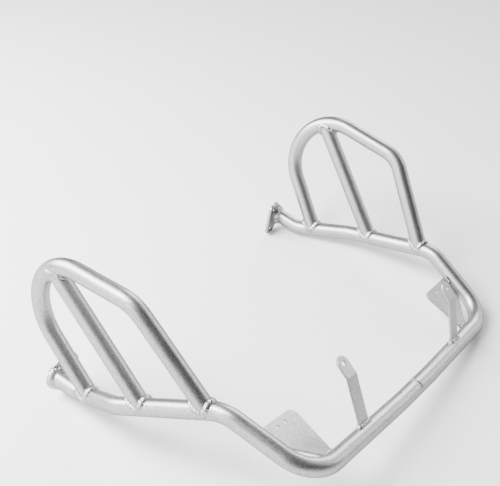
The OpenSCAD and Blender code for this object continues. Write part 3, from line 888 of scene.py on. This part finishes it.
def tack_bead(first, last, face, seed):
    """One short bead from first to last along the plate's end, above the plate if face is 1 and below it if
    face is -1. Each point slides over the face of the plate until it meets the tube."""
    part = first + (last - first) * np.linspace(TACK_MARGIN, 1 - TACK_MARGIN, TACK_ROWS)[:, None]
    p = on_plate(part, face * PLATE_T / 2)
    q = nearest_on(PLATE_LINE, p)
    inwards = unit(p - q - PLATE_Z * ((p - q) @ PLATE_Z)[:, None])

    def is_inside(t):
        moved_p = p + t[:, None] * inwards
        return np.linalg.norm(moved_p - nearest_on(PLATE_LINE, moved_p), axis=1) < TUBE_R

    root = p + length_inside(is_inside, -TACK_SEARCH, TACK_SEARCH, len(p))[:, None] * inwards
    radial = unit(root - nearest_on(PLATE_LINE, root))
    round_tube = along_surface(PLATE_Z * face, radial)
    lift = unit(unit(inwards + round_tube) + radial * 0.3)
    return corner_bead(root, inwards, round_tube, lift, TACK_W, seed, closed=False, pitch=TACK_PITCH)


def plate_beads(seed):
    """Four short beads between the side plate and the main tube: at its foot and at its rear end."""
    body = Body()
    back = SIDE_REAR + unit(SIDE_FRONT - SIDE_REAR) * TACK_LENGTH
    for k, (first, last) in enumerate(((FOOT_OUTER, FOOT_INNER), (back, SIDE_REAR))):
        for face in (1, -1):
            tack = tack_bead(first, last, face, seed + 7 * k + face)
            body.add(np.vstack(tack.points), tack.faces)
    return body


def strap_bead(seed):
    """The bead round the foot of the strap, on the cross tube. Its root is the strap's outline, raised to
    the height sqrt(R^2 - y^2) of the tube's wall."""
    r = STRAP_BEAD_CORNER_R
    x, y = STRAP_W / 2 - r, STRAP_T / 2 - r
    corners = ((x, -y, 270), (x, y, 0), (-x, y, 90), (-x, -y, 180))
    outline = np.vstack([arc((cx, cy), r, start, start + 90, 6) for cx, cy, start in corners])
    loop = []
    for p, q in zip(outline, np.roll(outline, -1, 0)):
        n = max(1, int(np.ceil(np.linalg.norm(q - p) / STRAP_BEAD_STEP)))
        loop.append(p + (q - p) * np.arange(n)[:, None] / n)
    loop = np.vstack(loop)
    tangent = unit(np.roll(loop, -1, 0) - np.roll(loop, 1, 0))
    out = tangent[:, 1:] * CROSS_RUN - tangent[:, :1] * STRAP_Y
    foot = STRAP_AT + loop[:, :1] * CROSS_RUN
    root = foot + loop[:, 1:] * STRAP_Y + np.sqrt(TUBE_R**2 - loop[:, 1:] ** 2) * STRAP_UP
    radial = unit(root - foot)
    lift = unit(out + STRAP_UP * 0.8 + radial * 0.2)
    wall = STRAP_AT + np.array([[-NEAR_REACH], [NEAR_REACH]]) * CROSS_RUN
    up_strap, round_tube = np.tile(STRAP_UP, (len(loop), 1)), along_surface(out, radial)
    return corner_bead(root, up_strap, round_tube, lift, STRAP_BEAD_W, seed, wall, pitch=STRAP_BEAD_PITCH)


print("points in the flange's bead:", flange_bead(53).count, "and in the strap's:", strap_bead(79).count)

# %% [markdown]
# ## Sums of sockets
# A pattern in Blender is a chain of nodes, and a chain built by hand is hard to read. A small class wraps
# a node's socket, so that the recipes below read like sums.


# %% Sums of sockets
class Val:
    """A socket in a node tree that can be added, multiplied and so on."""

    def __init__(self, tree, socket):
        self.tree, self.socket = tree, socket

    def _math(self, kind, other):
        node = self.tree.nodes.new("ShaderNodeMath")
        node.operation = kind
        for i, x in enumerate((self, other)):
            if isinstance(x, Val):
                self.tree.links.new(x.socket, node.inputs[i])
            else:
                node.inputs[i].default_value = x
        return Val(self.tree, node.outputs[0])

    def __add__(self, other):
        return self._math("ADD", other)

    def __sub__(self, other):
        return self._math("SUBTRACT", other)

    def __mul__(self, other):
        return self._math("MULTIPLY", other)

    def clip(self):
        """The value kept between 0 and 1."""
        return self._math("MINIMUM", 1.0)._math("MAXIMUM", 0.0)


# %% [markdown]
# ## Patterns
# Two patterns are enough for the coat: smooth noise, and cells that each have a random value. Both are
# worked out from a place in space, so they need no unwrapping and no image.


# %% Patterns
def noise(tree, where, scale, detail):
    """Smooth noise from 0 to 1 with the given number of swells in a metre."""
    node = tree.nodes.new("ShaderNodeTexNoise")
    node.inputs["Scale"].default_value = scale
    node.inputs["Detail"].default_value = detail
    node.inputs["Roughness"].default_value = 0.5
    tree.links.new(where, node.inputs["Vector"])
    return Val(tree, node.outputs["Fac"])


def cells(tree, where, scale):
    """A random value from 0 to 1 for each small cell, with the given number of cells in a metre."""
    node = tree.nodes.new("ShaderNodeTexVoronoi")
    node.inputs["Scale"].default_value = scale
    tree.links.new(where, node.inputs["Vector"])
    split = tree.nodes.new("ShaderNodeSeparateColor")
    tree.links.new(node.outputs["Color"], split.inputs[0])
    return Val(tree, split.outputs[0])


def grey(tree, value, tint=(1.0, 1.0, 1.0)):
    """A colour from one value and a tint."""
    node = tree.nodes.new("ShaderNodeCombineColor")
    for i, share in enumerate(tint):
        tree.links.new((value * share).socket, node.inputs[i])
    return node.outputs[0]


# %% [markdown]
# ## The silver powder coat
# Powder coat is a cured layer over the steel, and a silver one holds fine aluminium flakes. A plain grey
# metal would look like foil, so tiny cells of random brightness stand for the flakes, a slow noise gives
# the thickness its slight unevenness, and a shallow bump gives the orange peel that powder leaves.
# Flakes lie flat in the coat, so it looks darker at grazing angles, which the grey specular tint gives.
# All patterns use the object's own coordinates, in metres.

# %% The silver powder coat
COOL = (0.992, 1.0, 1.012)
EDGE_TINT = (0.35, 0.35, 0.35, 1.0)
FLAKES_PER_METRE, CLUMPS_PER_METRE, CLOUDS_PER_METRE, PEEL_PER_METRE = 2600.0, 1250.0, 22.0, 420.0
CLUMP_LIGHT, CLOUD_LIGHT = 0.7, 0.05
FLAKE_ROUGH, CLOUD_ROUGH = 0.12, 0.08
METAL, LACQUER, LACQUER_ROUGH = 0.97, 0.08, 0.22
CLUMP_PEEL = 0.25


def coat(name, base, rough, peel, grain):
    """A powder coat, from its brightness, its roughness, the depth of its orange peel in metres, and how
    much the flakes differ in brightness."""
    mat = bpy.data.materials.new(name)
    mat.use_nodes = True
    tree = mat.node_tree
    shader = tree.nodes["Principled BSDF"]
    where = tree.nodes.new("ShaderNodeTexCoord").outputs["Object"]
    flakes = cells(tree, where, FLAKES_PER_METRE)
    clumps = cells(tree, where, CLUMPS_PER_METRE)
    clouds = noise(tree, where, CLOUDS_PER_METRE, 3.0)
    light = (flakes - 0.5) * grain + (clumps - 0.5) * (grain * CLUMP_LIGHT)
    light = light + (clouds - 0.5) * CLOUD_LIGHT + base
    tree.links.new(grey(tree, light.clip(), COOL), shader.inputs["Base Color"])
    uneven = (flakes - 0.5) * FLAKE_ROUGH + (clouds - 0.5) * CLOUD_ROUGH + rough
    tree.links.new(uneven.clip().socket, shader.inputs["Roughness"])
    shader.inputs["Metallic"].default_value = METAL
    shader.inputs["Specular Tint"].default_value = EDGE_TINT
    shader.inputs["Coat Weight"].default_value = LACQUER
    shader.inputs["Coat Roughness"].default_value = LACQUER_ROUGH
    bump = tree.nodes.new("ShaderNodeBump")
    bump.inputs["Strength"].default_value = 1.0
    bump.inputs["Distance"].default_value = peel
    height = noise(tree, where, PEEL_PER_METRE, 2.0) + (clumps - 0.5) * CLUMP_PEEL
    tree.links.new(height.socket, bump.inputs["Height"])
    tree.links.new(bump.outputs[0], shader.inputs["Normal"])
    return mat


def plain(name, colour, rough, metallic):
    """A material without a pattern, all over the same."""
    mat = bpy.data.materials.new(name)
    mat.use_nodes = True
    shader = mat.node_tree.nodes["Principled BSDF"]
    shader.inputs["Base Color"].default_value = (*colour, 1.0)
    shader.inputs["Roughness"].default_value = rough
    shader.inputs["Metallic"].default_value = metallic
    return mat


SILVER = coat("silver powder coat", 0.33, 0.36, 0.00007, 0.32)
BEAD = coat("coated weld", 0.36, 0.27, 0.00034, 0.60)
SLEEVE = plain("plain steel", (0.3, 0.3, 0.31), 0.35, 1.0)
FLOOR = plain("pale floor", (0.86, 0.86, 0.86), 0.9, 0.0)
print("materials:", [mat.name for mat in (SILVER, BEAD, SLEEVE, FLOOR)])

# %% [markdown]
# ## Building both halves
# Each piece is made once for each side, so that the two sides share their sizes and differ only in the
# random swells of their beads. A new piece takes the place of its solid. The sleeve inside the centre
# joint is hidden, so it keeps its solid and only gets its steel.


# %% Building both halves
def coated_pieces():
    """Name, node and body of each tube and plate of a half."""
    return {
        "main_rail": ("main_tube", tube(MAIN_LINE, MAIN_ALONG)),
        "hoop": ("hoop_tube", tube(HOOP_LINE, HOOP_ALONG, MAIN_LINE, MAIN_LINE)),
        "strut": ("hoop_strut", tube(STRUT_LINE, STRUT_ALONG, MAIN_LINE, HOOP_LINE)),
        "flange": ("rear_flange", flange_body()),
        "plate": ("side_plate", plate_body()),
        "strap": ("front_strap", strap_body()),
    }


def bead_pieces(seed):
    """Name, node and body of each bead of a half."""
    hoop_front, hoop_rear, strut = SHOULDER - FRONT_FOOT, PEAK - REAR_FOOT, STRUT_TOP - STRUT_FOOT
    feet = {
        "hoop_front": (FRONT_FOOT, hoop_front, MAIN_LINE, FOOT_BEAD_W, seed + 11),
        "hoop_rear": (REAR_FOOT, hoop_rear, MAIN_LINE, FOOT_BEAD_W, seed + 23),
        "strut_lower": (STRUT_FOOT, strut, MAIN_LINE, STRUT_BEAD_W, seed + 37),
        "strut_upper": (STRUT_TOP, -strut, HOOP_LINE, STRUT_BEAD_W, seed + 41),
    }
    pieces = {f"{name}_bead": (f"{name}_weld", foot_bead(*foot)) for name, foot in feet.items()}
    pieces["flange_bead"] = ("flange_weld", flange_bead(seed + 53))
    pieces["plate_beads"] = ("plate_welds", plate_beads(seed + 67))
    pieces["strap_bead"] = ("strap_weld", strap_bead(seed + 79))
    return pieces


for side, seed in (("right", 0), ("left", 100)):
    for name, (node, body) in coated_pieces().items():
        make_piece(body, name, side, node, SILVER)
    for name, (node, body) in bead_pieces(seed).items():
        make_piece(body, name, side, node, BEAD)
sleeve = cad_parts["centre_spigot"]
sleeve.data.materials.clear()
sleeve.data.materials.append(SLEEVE)

# %% [markdown]
# ## The floor
# The photo's floor is plain and pale. A wide sheet is enough, and it is given as part of the stage.

# %% The floor
FLOOR_HALF = 9.0
corners = [(x * FLOOR_HALF, y * FLOOR_HALF, 0.0) for x, y in ((-1, -1), (1, -1), (1, 1), (-1, 1))]
floor_mesh = bpy.data.meshes.new("floor")
floor_mesh.from_pydata(corners, [], [(0, 1, 2, 3)])
floor_mesh.materials.append(FLOOR)
floor = bpy.data.objects.new("floor", floor_mesh)
bpy.context.scene.collection.objects.link(floor)
floor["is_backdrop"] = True
print("the floor's corners:", [tuple(corner.co) for corner in floor_mesh.vertices])

# %% [markdown]
# ## The studio sky
# Shiny tubes show mostly what stands round them, so the sky matters more than the lamps. It is a function
# of the direction alone: a dark base, a bright screen low on the rider's right, a narrow bright one on the
# left, two dimmer ones beside it, a light horizon, and a dark opening high in front, where the room is
# unlit. A satin tube shows these as the light and dark stripes that give it its form.


# %% The studio sky
def sky_patch(tree, towards, core, edge):
    """1 within core degrees of a direction, falling smoothly to 0 at edge degrees from it."""
    where = tree.nodes.new("ShaderNodeTexCoord").outputs["Generated"]
    dot = tree.nodes.new("ShaderNodeVectorMath")
    dot.operation = "DOT_PRODUCT"
    tree.links.new(where, dot.inputs[0])
    dot.inputs[1].default_value = tuple(unit(towards))
    ramp = tree.nodes.new("ShaderNodeMapRange")
    ramp.interpolation_type = "SMOOTHSTEP"
    ramp.inputs["From Min"].default_value = math.cos(math.radians(edge))
    ramp.inputs["From Max"].default_value = math.cos(math.radians(core))
    tree.links.new(dot.outputs["Value"], ramp.inputs["Value"])
    return Val(tree, ramp.outputs["Result"])


world = bpy.data.worlds.new("studio sky")
world.use_nodes = True
sky = world.node_tree
left_screen = sky_patch(sky, (-0.85, -0.24, 0.47), 7, 20)
side_screen = sky_patch(sky, (-0.82, 0.36, 0.38), 12, 31)
small_screen = sky_patch(sky, (-0.80, 0.50, 0.33), 7, 20)
right_screen = sky_patch(sky, (0.93, -0.34, 0.26), 16, 42)
horizon = sky_patch(sky, (0.0, 0.0, -1.0), 90, 107)
opening = sky_patch(sky, (0.10, 0.85, 0.48), 34, 62)
glow = right_screen * 6.0 + left_screen * 13.0 + side_screen * 2.0 + small_screen * 2.8
glow = glow + horizon * 0.7 - opening * 0.10 + 0.14
sky.links.new(grey(sky, glow), sky.nodes["Background"].inputs["Color"])
bpy.context.scene.world = world
print("the sky is made of", len(sky.nodes), "nodes")

# %% [markdown]
# ## The lamps
# Two lamps stand to the right and behind. A larger lamp gives a softer shadow, so one is a metre wide
# and the other a metre and a half.


# %% The lamps
def lamp(name, place, target, size, power):
    """A square soft lamp at a place, turned towards a target."""
    data = bpy.data.lights.new(name, "AREA")
    data.shape = "SQUARE"
    data.size = size
    data.energy = power
    obj = bpy.data.objects.new(name, data)
    bpy.context.scene.collection.objects.link(obj)
    obj.location = place
    obj.rotation_mode = "QUATERNION"
    obj.rotation_quaternion = (Vector(target) - Vector(place)).to_track_quat("-Z", "Y")


lamp("key", place=(1.05, -0.75, 1.9), target=(0, 0, 0), size=1.0, power=120)
lamp("rim", place=(0.75, -2.0, 1.45), target=(0.1, 0, 0.1), size=1.5, power=190)

# %% [markdown]
# ## The camera
# The camera stands in front, to the rider's right of the object, and looks down on it at the photo's
# angle. Its place, lens and directions come from fitting the tube's bends to the photo. A camera looks
# along its own -Z, so its turn has the directions right, up and minus forward as columns.

# %% The camera
CAMERA_AT = (0.9358, 0.6195, 0.9902)
CAMERA_LENS, SENSOR_WIDTH = 60.54, 36.0
camera_data = bpy.data.cameras.new("camera")
camera_data.sensor_width = SENSOR_WIDTH
camera_data.lens = CAMERA_LENS
camera_data.clip_start = 0.01
camera_data.clip_end = 50.0
camera = bpy.data.objects.new("camera", camera_data)
bpy.context.scene.collection.objects.link(camera)
forward = Vector((-0.6537, -0.4979, -0.5698)).normalized()
sideways = Vector((-0.6024, 0.7982, -0.0052))
up = sideways.cross(forward).normalized()
right = forward.cross(up).normalized()
turn = Matrix((right, up, -forward)).transposed()
camera.matrix_world = Matrix.Translation(CAMERA_AT) @ turn.to_4x4()
bpy.context.scene.camera = camera
print("the camera looks down by", round(math.degrees(math.asin(-forward.z)), 1), "degrees")

bpy.context.view_layer.update()
low_after, high_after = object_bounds()
off = np.abs(np.array([low_after, high_after]) - np.array([low_before, high_before])).max()
print("the box differs from that of the solids by", round(off * 1000, 2), "mm at most")
